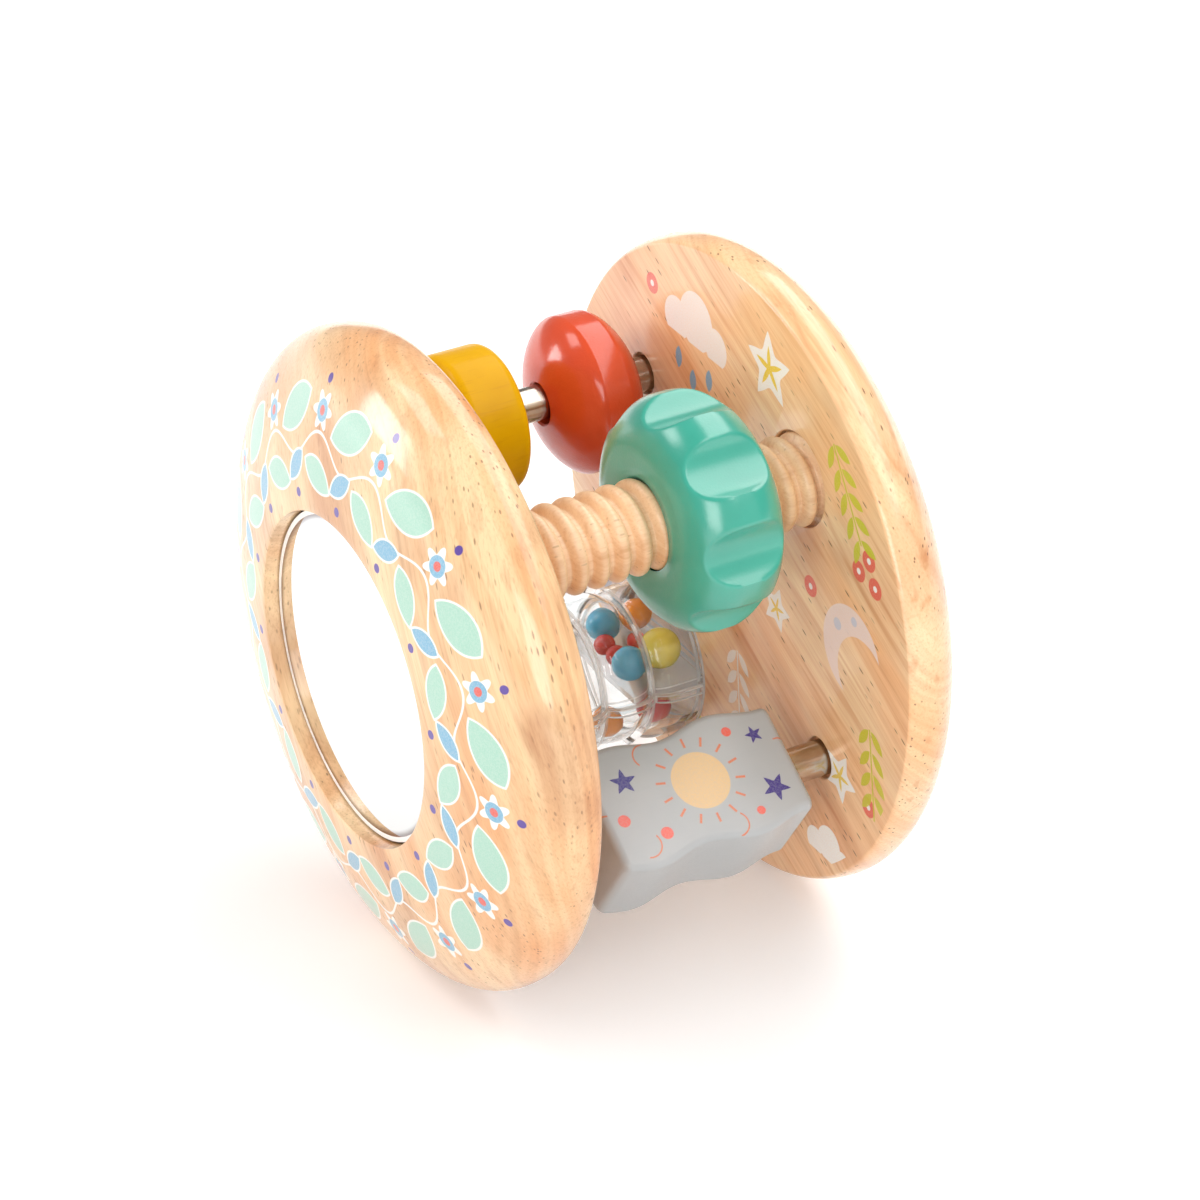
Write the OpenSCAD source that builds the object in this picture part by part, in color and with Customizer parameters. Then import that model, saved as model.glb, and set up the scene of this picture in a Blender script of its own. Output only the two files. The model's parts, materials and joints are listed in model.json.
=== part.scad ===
// Rolling rattle toy: two wooden discs joined by four bars that carry
// sliding beads, a travelling nut, a clear rattle capsule and a spinning block.
// X runs along the rolling axis, from the mirror disc (-X) to the plain disc (+X).
// Y points away from the viewer and Z points up. The floor is Z = 0.

/* [Discs] */
// Diameter of both discs over the rim
disc_diameter = 120; // [114:1:140]
// Thickness of each disc at its middle
disc_thickness = 18.5; // [16.5:0.5:24]
// Clear space between the inner faces of the discs
disc_gap = 60; // [58:1:72]
// Height of the widest line of the rim above the inner face
rim_height = 4.2; // [3:0.1:6]
// How far the inner edge is rounded in from the widest line
rim_inset = 1.4; // [0.8:0.1:2.4]
// Diameter of the flat middle of the outer face
crown_flat = 46; // [36:1:56]

/* [Mirror] */
// Diameter of the round recess in the mirror disc
mirror_opening = 60.6; // [56:0.2:66]
// Depth from the edge of the recess to the mirror's face
mirror_setback = 2.8; // [2:0.1:3.6]
// Thickness of the mirror plate
mirror_thickness = 2; // [1.5:0.1:2.6]
// Gap between the mirror's edge and the recess wall
mirror_clearance = 0.15; // [0.1:0.05:0.3]
// Diameter of the adhesive pad behind the mirror
adhesive_diameter = 50; // [40:1:54]
// Thickness of the adhesive pad
adhesive_thickness = 0.3; // [0.2:0.1:0.5]

/* [Bar layout] */
// Diameter of the circle through both steel rods and the capsule
bar_circle = 78.8; // [77:0.2:80]
// Diameter of the circle through the screw
screw_circle = 72; // [70:0.5:74]
// Turn of the whole set of bars from straight up towards the front, in degrees
bar_turn = -52.5; // [-60:0.5:-45]

/* [Steel rods] */
// Diameter of both steel rods
rod_diameter = 6.6; // [5.6:0.1:7]
// Gap round a rod in the bottom of its socket
rod_fit = 0.05; // [0.03:0.01:0.08]
// Gap at each end of a rod
rod_end_play = 0.25; // [0.2:0.05:0.5]
// Depth of the bead rod's socket in each disc
bead_socket_depth = 8; // [7:0.5:11]
// Depth of the block rod's socket in each disc
block_socket_depth = 10; // [7:0.5:11]
// Width of the chamfer on a rod's ends
rod_chamfer = 0.6; // [0.4:0.1:1]
// Diameter of the wider mouth of a rod's socket
rod_mouth_diameter = 7.8; // [7.6:0.1:9]
// Depth of the wider mouth of a rod's socket
rod_mouth_depth = 1.4; // [1:0.1:2]

/* [Beads] */
// Diameter of the red bead
red_diameter = 29.5; // [26:0.5:31]
// Length of the red bead
red_length = 18.7; // [16:0.1:20]
// Length of the red bead's narrow band at its widest
red_band = 4.6; // [3:0.1:6]
// Fullness of the red bead's shoulders: 2 is an ellipse, more is squarer
red_fullness = 2; // [1.9:0.05:2.4]
// Place of the red bead's middle along the rod
red_place = 17.4; // [16:0.1:19]
// Diameter of the yellow bead over its band
yellow_diameter = 27.5; // [26:0.5:30]
// Length of the yellow bead over its domed faces
yellow_length = 17.8; // [16:0.1:18.4]
// Length of the yellow bead's straight band
yellow_band = 7.6; // [6.6:0.1:9]
// Radius of the yellow bead's edges
yellow_edge = 2.2; // [1.5:0.1:3]
// Place of the yellow bead's middle along the rod
yellow_place = -6; // [-8:0.1:-5]
// Diameter of the bore through both beads
bead_bore = 7.7; // [7.4:0.1:8.4]
// Gap that stays between the rod and the top of a bead's bore when the bead hangs on it
bead_rest = 0.15; // [0.1:0.05:0.2]

/* [Screw] */
// Diameter of the screw over its thread
thread_diameter = 16.6; // [16:0.1:17]
// Distance from one thread to the next
thread_pitch = 4.1; // [4:0.1:4.6]
// Depth of the thread
thread_depth = 1.6; // [1.2:0.05:1.65]
// Width of the thread's crest
thread_crest = 1.55; // [1.3:0.05:1.7]
// Width of each sloping side of the thread
thread_flank = 0.85; // [0.7:0.05:0.95]
// Bevel along both edges of the crest
thread_bevel = 0.4; // [0.2:0.05:0.6]
// Place of a crest along the top of the screw
thread_phase = -1.5; // [-3:0.1:3]
// Diameter of the plain tenon at each end of the screw
tenon_diameter = 12.6; // [11:0.1:13]
// Length of each tenon beyond the shoulder
tenon_length = 8; // [6:0.5:9]
// Glue gap round a tenon
glue_gap = 0.05; // [0.02:0.01:0.1]
// Diameter of the wider mouth of the screw's socket
screw_mouth_diameter = 17.4; // [17.2:0.1:18.4]
// Depth of the wider mouth of the screw's socket
screw_mouth_depth = 1.5; // [1:0.1:2]

/* [Nut] */
// Diameter of the nut over its lobes
nut_diameter = 42; // [38:0.5:43]
// Length of the nut
nut_length = 19; // [17:0.5:21]
// Radius of the nut's rounded rim
nut_edge = 8.4; // [6:0.1:8.4]
// Place of the nut's middle along the screw
nut_place = 8.5; // [4:0.1:12]
// Number of finger hollows round the nut
nut_flutes = 8; // [6:1:10]
// Diameter of each finger hollow
flute_diameter = 14; // [12:0.5:15]
// Depth of each finger hollow
flute_depth = 3.2; // [2.4:0.1:3.4]
// Turn of the finger hollows about the screw, in degrees
flute_turn = -5; // [-20:1:20]
// Gap between the nut's thread and the screw's thread
thread_clearance = 0.3; // [0.25:0.05:0.35]
// Outer diameter of the guide ring in the nut's far mouth
guide_diameter = 20.6; // [20:0.1:22]
// Length of the guide ring
guide_length = 3.6; // [3:0.1:5]
// Gap round the guide ring
guide_fit = 0.1; // [0.05:0.05:0.2]

/* [Capsule] */
// Diameter of the capsule over its lobes
lobe_diameter = 31.4; // [29:0.2:32.4]
// Diameter of the capsule at its waists
waist_diameter = 28; // [26:0.2:29]
// Number of lobes along the capsule
lobes = 6; // [5:1:7]
// Wall thickness of the clear shells
capsule_wall = 2.3; // [1.9:0.1:2.6]
// Depth of the round seats in the discs that hold the capsule's ends
capsule_seat = 4; // [3:0.5:6]
// Gap round the capsule's ends in their seats
capsule_fit = 0.06; // [0.03:0.01:0.09]
// Gap between each end of the capsule and the bottom of its seat
capsule_end_play = 0.3; // [0.2:0.1:0.6]
// How far the seam's lip stands out from the shell
seam_lip = 0.7; // [0.5:0.1:1]
// Thickness of each shell's seam lip
seam_height = 0.8; // [0.6:0.1:1.2]
// Thickness of the clear shelf inside the capsule
shelf_thickness = 1.2; // [1:0.1:1.6]
// Length of the shelf from the plain disc's end
shelf_length = 15; // [14:0.5:24]
// Gap between the shelf's edge and the shells
shelf_fit = 0.15; // [0.1:0.05:0.25]

/* [Rattle balls] */
// Diameter of the yellow ball
yellow_ball = 7.7; // [7:0.1:8]
// Diameter of the two blue balls
blue_ball = 6.6; // [6:0.1:7]
// Diameter of the larger red ball
red_ball = 6.8; // [6:0.1:7.2]
// Diameter of the two orange balls
orange_ball = 6; // [5.4:0.1:6.4]
// Diameter of the small red balls
small_ball = 4; // [3:0.1:4.4]
// Gap between a resting ball and what it lies on or against
ball_gap = 0.15; // [0.1:0.05:0.3]
// Free way of the balls towards the plain disc's end of the capsule
ball_play = 1.5; // [1:0.1:2]
// Gap between the two small red balls that lie side by side
pair_gap = 0.4; // [0.2:0.1:0.8]
// Place of that pair's middle behind the capsule's axis
pair_place = 0.3; // [0.2:0.1:0.4]
// Place of that pair along the capsule, beyond the front blue ball
pair_shift = 0.4; // [0:0.1:0.8]
// Place of the third small red ball behind the capsule's axis
third_place = 0.4; // [0:0.1:0.6]
// Place of the third small red ball along the capsule, short of the yellow ball
third_shift = 1; // [0.6:0.1:1.4]
// Place of the rear blue ball along the capsule, beyond the front one
blue_shift = 2.9; // [2.5:0.1:3]
// Turn of the two lower balls from straight down towards the front, in degrees
low_turn = 36; // [20:1:50]

/* [Block] */
// Length of the spinning block along its rod
block_length = 38.4; // [36:0.2:42]
// Width of the block across its wavy sides
block_width = 23.9; // [22:0.1:26]
// Distance from the block's bore to the middle of its width
block_offset = 1; // [0:0.1:1.5]
// Thickness of the block from its printed face to its back
block_thickness = 19.4; // [17:0.2:22]
// Radius of the block's long edges
block_edge = 1.4; // [1:0.1:2.4]
// Height of the waves along the block's sides
wave_height = 1.7; // [1:0.05:2.4]
// Length of one wave along the block's sides
wave_length = 20; // [17:0.1:26]
// Place of a waist between the waves, from the block's middle
wave_place = -2.6; // [-5:0.1:0]
// Diameter of the bore through the block
block_bore = 7.4; // [7.2:0.1:8.2]
// Place of the block's middle along its rod
block_place = 1.1; // [-2:0.1:4]
// Turn of the block's printed face about its rod, in degrees
block_turn = 33; // [20:1:50]

/* [Hidden] */
$fn = 72;
R = disc_diameter / 2;
face = disc_gap / 2;
eps = 0.01;
over = 1;
arc_steps = 10;
dome_steps = 18;

// Bars stand at quarter turns round the rolling axis
bead_angle = bar_turn;
screw_angle = bar_turn + 90;
block_angle = bar_turn + 180;
capsule_angle = bar_turn + 270;

capsule_length = disc_gap + 2 * (capsule_seat - capsule_end_play);
lobe_pitch = disc_gap / lobes;
recess_depth = mirror_setback + mirror_thickness + adhesive_thickness;
cavity_end = capsule_length / 2 - capsule_wall;
bead_drop = (bead_bore - rod_diameter) / 2 - bead_rest;

// Moves its children to a bar at the given circle and angle
module at_bar(circle_diameter, angle) {
    r = circle_diameter / 2;
    translate([0, -r * sin(angle), R + r * cos(angle)]) children();
}

// Turns a solid of revolution about Z so that it runs along X
module along_x() {
    rotate([0, 90, 0]) children();
}

// A straight round bar along X between two places
module bar_x(x0, x1, d) {
    translate([x0, 0, 0]) along_x() cylinder(h = x1 - x0, d = d);
}

// Height of the domed outer face above the inner face at a radius
function dome_height(r) =
    let (a = R - crown_flat / 2, t = max(0, r - crown_flat / 2) / a)
    rim_height + (disc_thickness - rim_height) * sqrt(max(0, 1 - t * t));

// Half section of a disc: radius across, height above the inner face up
function disc_section() = concat(
    [[0, 0]],
    [for (i = [0:arc_steps])
        let (t = 90 * i / arc_steps)
        [R - rim_inset + rim_inset * sin(t), rim_height * (1 - cos(t))]],
    [for (i = [1:dome_steps])
        let (t = 90 * i / dome_steps)
        [crown_flat / 2 + (R - crown_flat / 2) * cos(t),
         rim_height + (disc_thickness - rim_height) * sin(t)]],
    [[0, disc_thickness]]
);

// Sockets that both discs have in their inner faces, drawn for the +X disc
module sockets() {
    translate([face, 0, 0]) {
        for (rod = [[bead_angle, bead_socket_depth], [block_angle, block_socket_depth]])
            at_bar(bar_circle, rod[0]) {
                bar_x(-over, rod[1], rod_diameter + 2 * rod_fit);
                bar_x(-over, rod_mouth_depth, rod_mouth_diameter);
            }
        at_bar(screw_circle, screw_angle) {
            bar_x(-over, screw_mouth_depth + tenon_length + glue_gap, tenon_diameter + 2 * glue_gap);
            bar_x(-over, screw_mouth_depth, screw_mouth_diameter);
        }
        at_bar(bar_circle, capsule_angle)
            bar_x(-over, capsule_seat, lobe_diameter + 2 * capsule_fit);
    }
}

module disc_body() {
    difference() {
        translate([face, 0, R]) along_x() rotate_extrude() polygon(disc_section());
        sockets();
    }
}

module right_disc() {
    color("burlywood") disc_body();
}

module left_disc() {
    edge = face + dome_height(mirror_opening / 2);
    color("burlywood") difference() {
        mirror([1, 0, 0]) disc_body();
        translate([0, 0, R]) bar_x(-face - disc_thickness - over, -edge + recess_depth, mirror_opening);
    }
}

module mirror_plate() {
    edge = face + dome_height(mirror_opening / 2);
    color("lightcyan") translate([-edge + mirror_setback, 0, R])
        bar_x(0, mirror_thickness, mirror_opening - 2 * mirror_clearance);
}

module mirror_adhesive() {
    edge = face + dome_height(mirror_opening / 2);
    color("whitesmoke") translate([-edge + mirror_setback + mirror_thickness, 0, R])
        bar_x(0, adhesive_thickness, adhesive_diameter);
}

// One pitch of the thread's section: place along the axis and radius.
// grow is added on every side, for the cutter of the nut's thread.
function thread_section(grow) =
    let (
        top = thread_diameter / 2 + grow,
        root = top - thread_depth,
        half = thread_crest / 2 + grow,
        foot = half + thread_flank
    ) [
        [-foot, root],
        [-half, top - thread_bevel],
        [-half + thread_bevel, top],
        [half - thread_bevel, top],
        [half, top - thread_bevel],
        [foot, root]
    ];

thread_steps = 28;

// A right-hand threaded bar along X with a crest at thread_phase on its top side.
// It covers at least the space from x0 to x1.
module threaded_bar(x0, x1, grow) {
    section = thread_section(grow);
    m = len(section);
    n = thread_steps;
    first = floor((x0 - thread_phase) / thread_pitch) - 2;
    last = ceil((x1 - thread_phase) / thread_pitch) + 2;
    s_end = (last - first) * n;
    start = thread_phase + (first - 0.25) * thread_pitch;
    ring_points = [
        for (s = [0:s_end])
            let (turn = 360 * s / n, along = start + thread_pitch * s / n)
            for (p = section) [along + p[0], p[1] * cos(turn), p[1] * sin(turn)]
    ];
    first_tip = len(ring_points);
    points = concat(
        ring_points,
        [[start + section[0][0] - over, 0, 0],
         [start + thread_pitch * s_end / n + section[m - 1][0] + over, 0, 0]]
    );
    walls = [
        for (s = [0:s_end - 1])
            for (i = [0:m - 2])
                let (a = s * m + i, b = a + 1, c = a + m, d = b + m)
                each [[a, b, c], [b, d, c]]
    ];
    roots = [
        for (s = [0:s_end - n - 1])
            let (a = s * m + m - 1, b = (s + n) * m, c = a + m, d = b + m)
            each [[a, b, c], [b, d, c]]
    ];
    start_loop = concat(
        [for (s = [0:n]) s * m],
        [for (i = [m - 1:-1:1]) i]
    );
    end_loop = concat(
        [for (i = [0:m - 1]) s_end * m + i],
        [for (s = [s_end - 1:-1:s_end - n]) s * m + m - 1]
    );
    caps = concat(
        [for (i = [0:len(start_loop) - 1])
            [first_tip, start_loop[i], start_loop[(i + 1) % len(start_loop)]]],
        [for (i = [0:len(end_loop) - 1])
            [first_tip + 1, end_loop[i], end_loop[(i + 1) % len(end_loop)]]]
    );
    intersection() {
        polyhedron(points, concat(walls, roots, caps));
        bar_x(x0, x1, thread_diameter + 2 * grow + 4);
    }
}

module screw() {
    end = face + screw_mouth_depth;
    color("wheat") at_bar(screw_circle, screw_angle) {
        threaded_bar(-end, end, 0);
        bar_x(-end - tenon_length, -end + over, tenon_diameter);
        bar_x(end - over, end + tenon_length, tenon_diameter);
    }
}

// Half section of the nut: a disc with a large round along both edges
module nut_section() {
    h = nut_length / 2;
    r = nut_diameter / 2;
    translate([0, -h]) square([r - nut_edge, nut_length]);
    translate([0, -h + nut_edge]) square([r, nut_length - 2 * nut_edge]);
    for (side = [-1, 1])
        intersection() {
            translate([r - nut_edge, side * (h - nut_edge)]) circle(r = nut_edge);
            translate([0, -h]) square([r, nut_length]);
        }
}

module nut() {
    seat = guide_length + guide_fit;
    color("mediumaquamarine") at_bar(screw_circle, screw_angle) difference() {
        translate([nut_place, 0, 0]) along_x() rotate_extrude() nut_section();
        for (i = [0:nut_flutes - 1])
            let (a = flute_turn + i * 360 / nut_flutes,
                 r = nut_diameter / 2 - flute_depth + flute_diameter / 2)
            translate([nut_place, -r * sin(a), r * cos(a)])
                bar_x(-nut_length, nut_length, flute_diameter);
        threaded_bar(nut_place - nut_length / 2 - over, nut_place + nut_length / 2 + over, thread_clearance);
        translate([nut_place + nut_length / 2, 0, 0])
            bar_x(-seat, over, guide_diameter + 2 * guide_fit);
    }
}

module nut_guide_ring() {
    color("peru") at_bar(screw_circle, screw_angle)
        translate([nut_place + nut_length / 2, 0, 0]) difference() {
            bar_x(-guide_length, 0, guide_diameter);
            bar_x(-guide_length - over, over, thread_diameter + 2 * thread_clearance);
        }
}

// A steel rod with chamfered ends that reaches into a socket in each disc
module steel_rod(socket_depth) {
    h = face + socket_depth - rod_end_play;
    r = rod_diameter / 2;
    color("silver") along_x() rotate_extrude()
        polygon([[0, -h], [r - rod_chamfer, -h], [r, -h + rod_chamfer],
                 [r, h - rod_chamfer], [r - rod_chamfer, h], [0, h]]);
}

module bead_rod() {
    at_bar(bar_circle, bead_angle) steel_rod(bead_socket_depth);
}

module block_rod() {
    at_bar(bar_circle, block_angle) steel_rod(block_socket_depth);
}

// Half section of the yellow bead: straight band, round edges, domed faces
function yellow_section() =
    let (
        r = yellow_diameter / 2,
        b = yellow_band / 2,
        h = yellow_length / 2,
        e = yellow_edge,
        shoulder = b + e * sin(60),
        rise = h - shoulder,
        rim = r - e * (1 - cos(60)),
        upper = concat(
            [for (i = [0:6]) let (t = 10 * i) [r - e * (1 - cos(t)), b + e * sin(t)]],
            [for (i = [1:9]) let (t = i / 9) [rim * (1 - t), shoulder + rise * (1 - (1 - t) * (1 - t))]]
        )
    )
    concat([for (i = [len(upper) - 1:-1:0]) [upper[i][0], -upper[i][1]]], upper);

module yellow_bead() {
    color("gold") at_bar(bar_circle, bead_angle) translate([yellow_place, 0, -bead_drop]) difference() {
        along_x() rotate_extrude() polygon(yellow_section());
        bar_x(-yellow_length, yellow_length, bead_bore);
    }
}

// Half section of the red bead: a narrow band between two rounded cones
function red_section() =
    let (
        b = red_band / 2,
        h = red_length / 2,
        upper = [for (i = [0:14])
            let (t = 90 * i / 14)
            [red_diameter / 2 * pow(cos(t), 2 / red_fullness), b + (h - b) * pow(sin(t), 4 / 3)]]
    )
    concat([for (i = [14:-1:0]) [upper[i][0], -upper[i][1]]], upper);

module red_bead() {
    color("orangered") at_bar(bar_circle, bead_angle) translate([red_place, 0, -bead_drop]) difference() {
        along_x() rotate_extrude() polygon(red_section());
        bar_x(-red_length, red_length, bead_bore);
    }
}

// Radius of the capsule along its length: rounded lobes between narrow waists,
// straight from the middle of each outer lobe into its seat
function lobe_radius(x) =
    let (f = (x + face) / lobe_pitch, g = abs(2 * (f - floor(f)) - 1))
    abs(x) >= face - lobe_pitch / 2
        ? lobe_diameter / 2
        : waist_diameter / 2 + (lobe_diameter - waist_diameter) / 2 * (1 - pow(g, 3));

lobe_steps = 8;
// Places along the capsule: both ends, and steps through the lobes between them
function lobe_places(x0, x1) =
    let (
        step = lobe_pitch / lobe_steps,
        reach = face - lobe_pitch / 2,
        count = round(2 * reach / step)
    )
    concat(
        [x0],
        [for (i = [0:count]) let (x = -reach + i * step) if (x > x0 + eps && x < x1 - eps) x],
        [x1]
    );

// Half section of the capsule between two places, with its wall set in
function capsule_section(x0, x1, inset) = concat(
    [[0, x0]],
    [for (x = lobe_places(x0, x1)) [max(1, lobe_radius(x) - inset), x]],
    [[0, x1]]
);

// Outline of the capsule seen square to its seam
function capsule_outline(x0, x1, inset) =
    let (xs = lobe_places(x0, x1))
    concat(
        [for (x = xs) [x, lobe_radius(x) - inset]],
        [for (i = [len(xs) - 1:-1:0]) [xs[i], -lobe_radius(xs[i]) + inset]]
    );

// One clear shell with half of both end walls, opening downwards
module capsule_shell() {
    h = capsule_length / 2;
    lip = face - seam_lip;
    difference() {
        union() {
            intersection() {
                along_x() rotate_extrude() polygon(capsule_section(-h, h, 0));
                translate([-disc_gap, -disc_gap, 0]) cube([2 * disc_gap, 2 * disc_gap, disc_gap]);
            }
            linear_extrude(height = seam_height) polygon(capsule_outline(-lip, lip, -seam_lip));
        }
        along_x() rotate_extrude() polygon(capsule_section(-cavity_end, cavity_end, capsule_wall));
    }
}

module capsule_upper_shell() {
    color("aliceblue", 0.35) at_bar(bar_circle, capsule_angle) capsule_shell();
}

module capsule_lower_shell() {
    color("aliceblue", 0.35) at_bar(bar_circle, capsule_angle) mirror([0, 0, 1]) capsule_shell();
}

module capsule_shelf() {
    x1 = cavity_end - shelf_fit;
    color("aliceblue", 0.35) at_bar(bar_circle, capsule_angle)
        translate([0, 0, -shelf_thickness / 2]) linear_extrude(height = shelf_thickness)
            polygon(capsule_outline(x1 - shelf_length, x1, capsule_wall + shelf_fit));
}

// Places a ball inside the capsule: along, to the rear, and its height
module ball(d, x, y, z, tint) {
    color(tint) at_bar(bar_circle, capsule_angle) translate([x, y, z]) sphere(d = d);
}

// Height of a ball that lies on the shelf
function on_shelf(d) = shelf_thickness / 2 + ball_gap + d / 2;
// Distance to the front or rear of a ball on the shelf that just clears the waists
function beside(d) =
    let (reach = waist_diameter / 2 - capsule_wall - ball_gap - d / 2)
    sqrt(reach * reach - on_shelf(d) * on_shelf(d));
// Distance from the capsule's axis of a ball that lies on the lower shell, inside a lobe
function on_shell(d) = lobe_diameter / 2 - capsule_wall - ball_gap - d / 2;
// Distance along the capsule between two balls that lie beside each other on the shelf
function next_along(d0, d1) =
    let (
        apart = (d0 + d1) / 2 + ball_gap,
        across = beside(d0) - beside(d1),
        up = (d0 - d1) / 2
    )
    sqrt(apart * apart - across * across - up * up);

// Middle of a lobe, counted from the plain disc
function lobe_middle(i) = face - (i + 0.5) * lobe_pitch;

yellow_ball_x = cavity_end - ball_play - yellow_ball / 2;
blue_ball_x = yellow_ball_x - next_along(yellow_ball, blue_ball);
pair_step = (small_ball + pair_gap) / 2;

module ball_yellow() {
    ball(yellow_ball, yellow_ball_x, -beside(yellow_ball), on_shelf(yellow_ball), "gold");
}

module ball_blue_front() {
    ball(blue_ball, blue_ball_x, -beside(blue_ball), on_shelf(blue_ball), "deepskyblue");
}

module ball_blue_rear() {
    ball(blue_ball, blue_ball_x + blue_shift, beside(blue_ball), on_shelf(blue_ball), "deepskyblue");
}

module ball_red_small_front() {
    ball(small_ball, blue_ball_x + pair_shift, pair_place - pair_step, on_shelf(small_ball), "firebrick");
}

module ball_red_small_middle() {
    ball(small_ball, blue_ball_x + pair_shift, pair_place + pair_step, on_shelf(small_ball), "firebrick");
}

module ball_red_small_rear() {
    ball(small_ball, yellow_ball_x - third_shift, third_place, on_shelf(small_ball), "firebrick");
}

// Leans up and back on the third small ball, beside the end of the capsule
module ball_orange_top() {
    lean = ((orange_ball + small_ball) / 2 + ball_gap) * sin(45);
    ball(orange_ball, cavity_end - ball_play - orange_ball / 2, third_place + lean,
         on_shelf(small_ball) + lean, "orange");
}

// A ball that lies on the lower shell in the middle of a lobe
module low_ball(d, lobe, tint) {
    r = on_shell(d);
    ball(d, lobe_middle(lobe), -r * sin(low_turn), -r * cos(low_turn), tint);
}

module ball_red_bottom() {
    low_ball(red_ball, 0, "firebrick");
}

module ball_orange_bottom() {
    low_ball(orange_ball, 1, "orange");
}

// Half width of the block along its length: waves between the two ends
function block_half_width(x) =
    block_width / 2 - wave_height / 2 - wave_height / 2 * cos(360 * (x - wave_place) / wave_length);

// Stations along the block, closer together at its rounded ends
block_stations = 36;
// How far the section is drawn in at a place near a rounded end
function block_inset(x) =
    let (d = block_length / 2 - abs(x), e = block_edge, k = max(0, e - d))
    e - sqrt(max(0, e * e - k * k));

function block_x(i) =
    let (h = block_length / 2, u = 2 * i / block_stations - 1)
    h * (0.6 * u + 0.4 * sin(90 * u));

// Rounded rectangle of the block's section at one station
function block_ring(x) =
    let (
        k = block_inset(x),
        w = block_half_width(x) - k,
        t = block_thickness / 2 - k,
        e = min(block_edge, w, t)
    )
    [for (q = [0:3])
        for (j = [0:5])
            let (a = 90 * q + 18 * j,
                 cy = (q == 0 || q == 3 ? 1 : -1) * (w - e),
                 cz = (q < 2 ? 1 : -1) * (t - e))
            [x, cy + e * cos(a), cz + e * sin(a)]];

module block() {
    n = 24;
    rings = [for (i = [0:block_stations]) block_ring(block_x(i))];
    points = [for (r = rings) each r];
    walls = [
        for (i = [0:block_stations - 1])
            for (j = [0:n - 1])
                let (a = i * n + j, b = i * n + (j + 1) % n, c = a + n, d = b + n)
                each [[a, c, b], [b, c, d]]
    ];
    near_end = [for (j = [0:n - 1]) j];
    far_end = [for (j = [n - 1:-1:0]) block_stations * n + j];
    color("gainsboro") at_bar(bar_circle, block_angle) rotate([block_turn, 0, 0])
        translate([block_place, 0, 0]) difference() {
            translate([0, -block_offset, 0]) polyhedron(points, concat(walls, [near_end], [far_end]));
            bar_x(-block_length, block_length, block_bore);
        }
}

left_disc();
right_disc();
mirror_plate();  // mirror
mirror_adhesive();
screw();
nut();
nut_guide_ring();
bead_rod();
yellow_bead();
red_bead();
block_rod();
block();
capsule_upper_shell();
capsule_lower_shell();
capsule_shelf();
ball_yellow();
ball_blue_front();
ball_blue_rear();
ball_orange_top();
ball_red_small_front();
ball_red_small_middle();
ball_red_small_rear();
ball_red_bottom();
ball_orange_bottom();
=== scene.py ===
"""Rolling rattle toy: turned wooden discs, painted sliders, a wooden screw with its nut,
a clear rattle capsule and a printed block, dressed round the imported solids."""
import json
import math

import bmesh
import bpy
import numpy as np
from mathutils import Matrix, Vector


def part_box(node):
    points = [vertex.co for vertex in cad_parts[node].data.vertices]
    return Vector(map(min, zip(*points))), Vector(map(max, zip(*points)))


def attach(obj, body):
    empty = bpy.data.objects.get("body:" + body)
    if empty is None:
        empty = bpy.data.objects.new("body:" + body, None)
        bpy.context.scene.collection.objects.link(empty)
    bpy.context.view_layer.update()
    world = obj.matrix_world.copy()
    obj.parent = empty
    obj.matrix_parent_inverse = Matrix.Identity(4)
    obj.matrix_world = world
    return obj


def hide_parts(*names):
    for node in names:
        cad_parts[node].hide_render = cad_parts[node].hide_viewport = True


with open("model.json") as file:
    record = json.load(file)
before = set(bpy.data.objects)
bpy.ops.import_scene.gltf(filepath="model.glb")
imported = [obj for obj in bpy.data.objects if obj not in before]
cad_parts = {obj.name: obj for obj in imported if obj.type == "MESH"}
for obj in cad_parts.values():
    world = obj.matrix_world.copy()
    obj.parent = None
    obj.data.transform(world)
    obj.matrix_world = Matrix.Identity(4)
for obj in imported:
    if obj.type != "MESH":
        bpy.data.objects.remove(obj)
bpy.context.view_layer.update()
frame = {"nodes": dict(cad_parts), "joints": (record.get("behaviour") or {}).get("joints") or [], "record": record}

MM = 0.001
LAP = 2 * math.pi
WELD = 2e-7

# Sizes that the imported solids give
disc_low, disc_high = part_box("right_disc")
FACE = disc_low.x
DISC_R = (disc_high.z - disc_low.z) / 2
DISC_THICK = disc_high.x - disc_low.x
AXLE = Vector((0, 0, DISC_R))
bars = {j["name"]: Vector(j["pos_m"]) for j in frame["joints"] if j.get("pos_m")}
BEAD_BAR = bars["bead_rod_spin"]
SCREW_BAR = bars["nut_spin"]
BLOCK_BAR = bars["block_rod_spin"]
CAPSULE_BAR = bars["capsule_spin"]

# Sizes repeated from the part's source, in metres
RIM_HEIGHT = 4.2 * MM
RIM_INSET = 1.4 * MM
CROWN = 23 * MM
OPENING = 30.3 * MM
RECESS = 5.1 * MM
OPENING_ROUND = 0.35 * MM
BEAD_SOCKET = (3.35 * MM, 8 * MM, 3.9 * MM, 1.4 * MM)
BLOCK_SOCKET = (3.35 * MM, 10 * MM, 3.9 * MM, 1.4 * MM)
SCREW_SOCKET = (6.35 * MM, 9.55 * MM, 8.7 * MM, 1.5 * MM)
CAPSULE_SEAT = (15.76 * MM, 4 * MM)
SOCKET_BREAK = 0.2 * MM
THREAD = {"Top": 8.3 * MM, "Pitch": 4.1 * MM, "Depth": 1.6 * MM, "Reach": 1.62 * MM,
          "Fullness": 2.4, "Phase": -1.5 * MM}
THREAD_GAP = 0.3 * MM
SCREW_SHOULDER = FACE + 1.5 * MM
TENON = (6.3 * MM, 8 * MM)
NUT_EDGE = 8.4 * MM
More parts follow.
